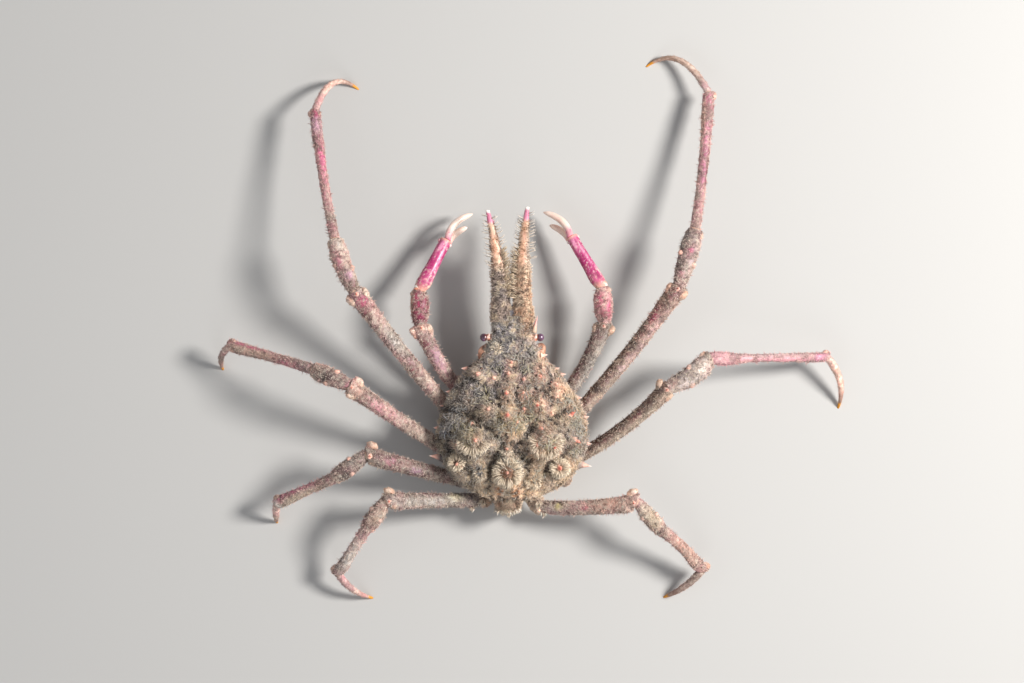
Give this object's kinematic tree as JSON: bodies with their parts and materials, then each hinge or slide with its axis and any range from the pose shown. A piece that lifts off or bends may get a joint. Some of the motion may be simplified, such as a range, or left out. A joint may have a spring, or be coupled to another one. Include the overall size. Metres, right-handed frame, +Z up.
{
  "type": "spider crab",
  "caption": "Life-size still model of a long-horned spider crab, sprawled on its belly with its legs spread, resting on its tail flap and leg tips.",
  "frame": {"origin": "on the floor, on the flat of the folded tail, below the middle of the shell", "axes": "+Y towards the head, +X towards the crab's right side, +Z up from the floor"},
  "size_m": [0.1556, 0.1355, 0.0236],
  "materials": {
    "shell": "grey-brown velvet of short bristles over a knobbly shell, with coral tubercles and cream tufts",
    "belly": "bare pale pinkish shell, matt",
    "horn": "pinkish-orange bare ridge, pale tip, hooked bristles along both sides",
    "stalk": "orange-cream shell",
    "eye": "dark purple-blue, glossy",
    "claw_arm": "velvety pinkish-grey with magenta blotches",
    "claw_palm": "bare, smooth, vivid magenta with pale streaks",
    "claw_finger": "smooth, white to peach with a pink base",
    "leg_tip": "brownish-beige, velvety, with a bare amber point",
    "leg": "beige-pink with grey velvet and magenta to purple patches"
  },
  "bodies": {
    "root": {"abdomen": "belly", "antenna_left": "horn", "antenna_right": "horn", "carapace": "shell", "chest": "belly", "claw_left_carpus": "claw_arm", "claw_left_finger": "claw_finger", "claw_left_merus": "claw_arm", "claw_left_palm": "claw_palm", "claw_right_carpus": "claw_arm", "claw_right_finger": "claw_finger", "claw_right_merus": "claw_arm", "claw_right_palm": "claw_palm", "cornea_left": "eye", "cornea_right": "eye", "eyestalk_left": "stalk", "eyestalk_right": "stalk", "leg_1_left_carpus": "leg", "leg_1_left_dactylus": "leg_tip", "leg_1_left_merus": "leg", "leg_1_left_propodus": "leg", "leg_1_right_carpus": "leg", "leg_1_right_dactylus": "leg_tip", "leg_1_right_merus": "leg", "leg_1_right_propodus": "leg", "leg_2_left_carpus": "leg", "leg_2_left_dactylus": "leg_tip", "leg_2_left_merus": "leg", "leg_2_left_propodus": "leg", "leg_2_right_carpus": "leg", "leg_2_right_dactylus": "leg_tip", "leg_2_right_merus": "leg", "leg_2_right_propodus": "leg", "leg_3_left_carpus": "leg", "leg_3_left_dactylus": "leg_tip", "leg_3_left_merus": "leg", "leg_3_left_propodus": "leg", "leg_3_right_stub": "leg", "leg_4_left_carpus": "leg", "leg_4_left_dactylus": "leg_tip", "leg_4_left_merus": "leg", "leg_4_left_propodus": "leg", "leg_4_right_carpus": "leg", "leg_4_right_dactylus": "leg_tip", "leg_4_right_merus": "leg", "leg_4_right_propodus": "leg", "maxilliped_left": "belly", "maxilliped_right": "belly", "rostral_spine_left": "horn", "rostral_spine_right": "horn"}
  },
  "joints": []
}
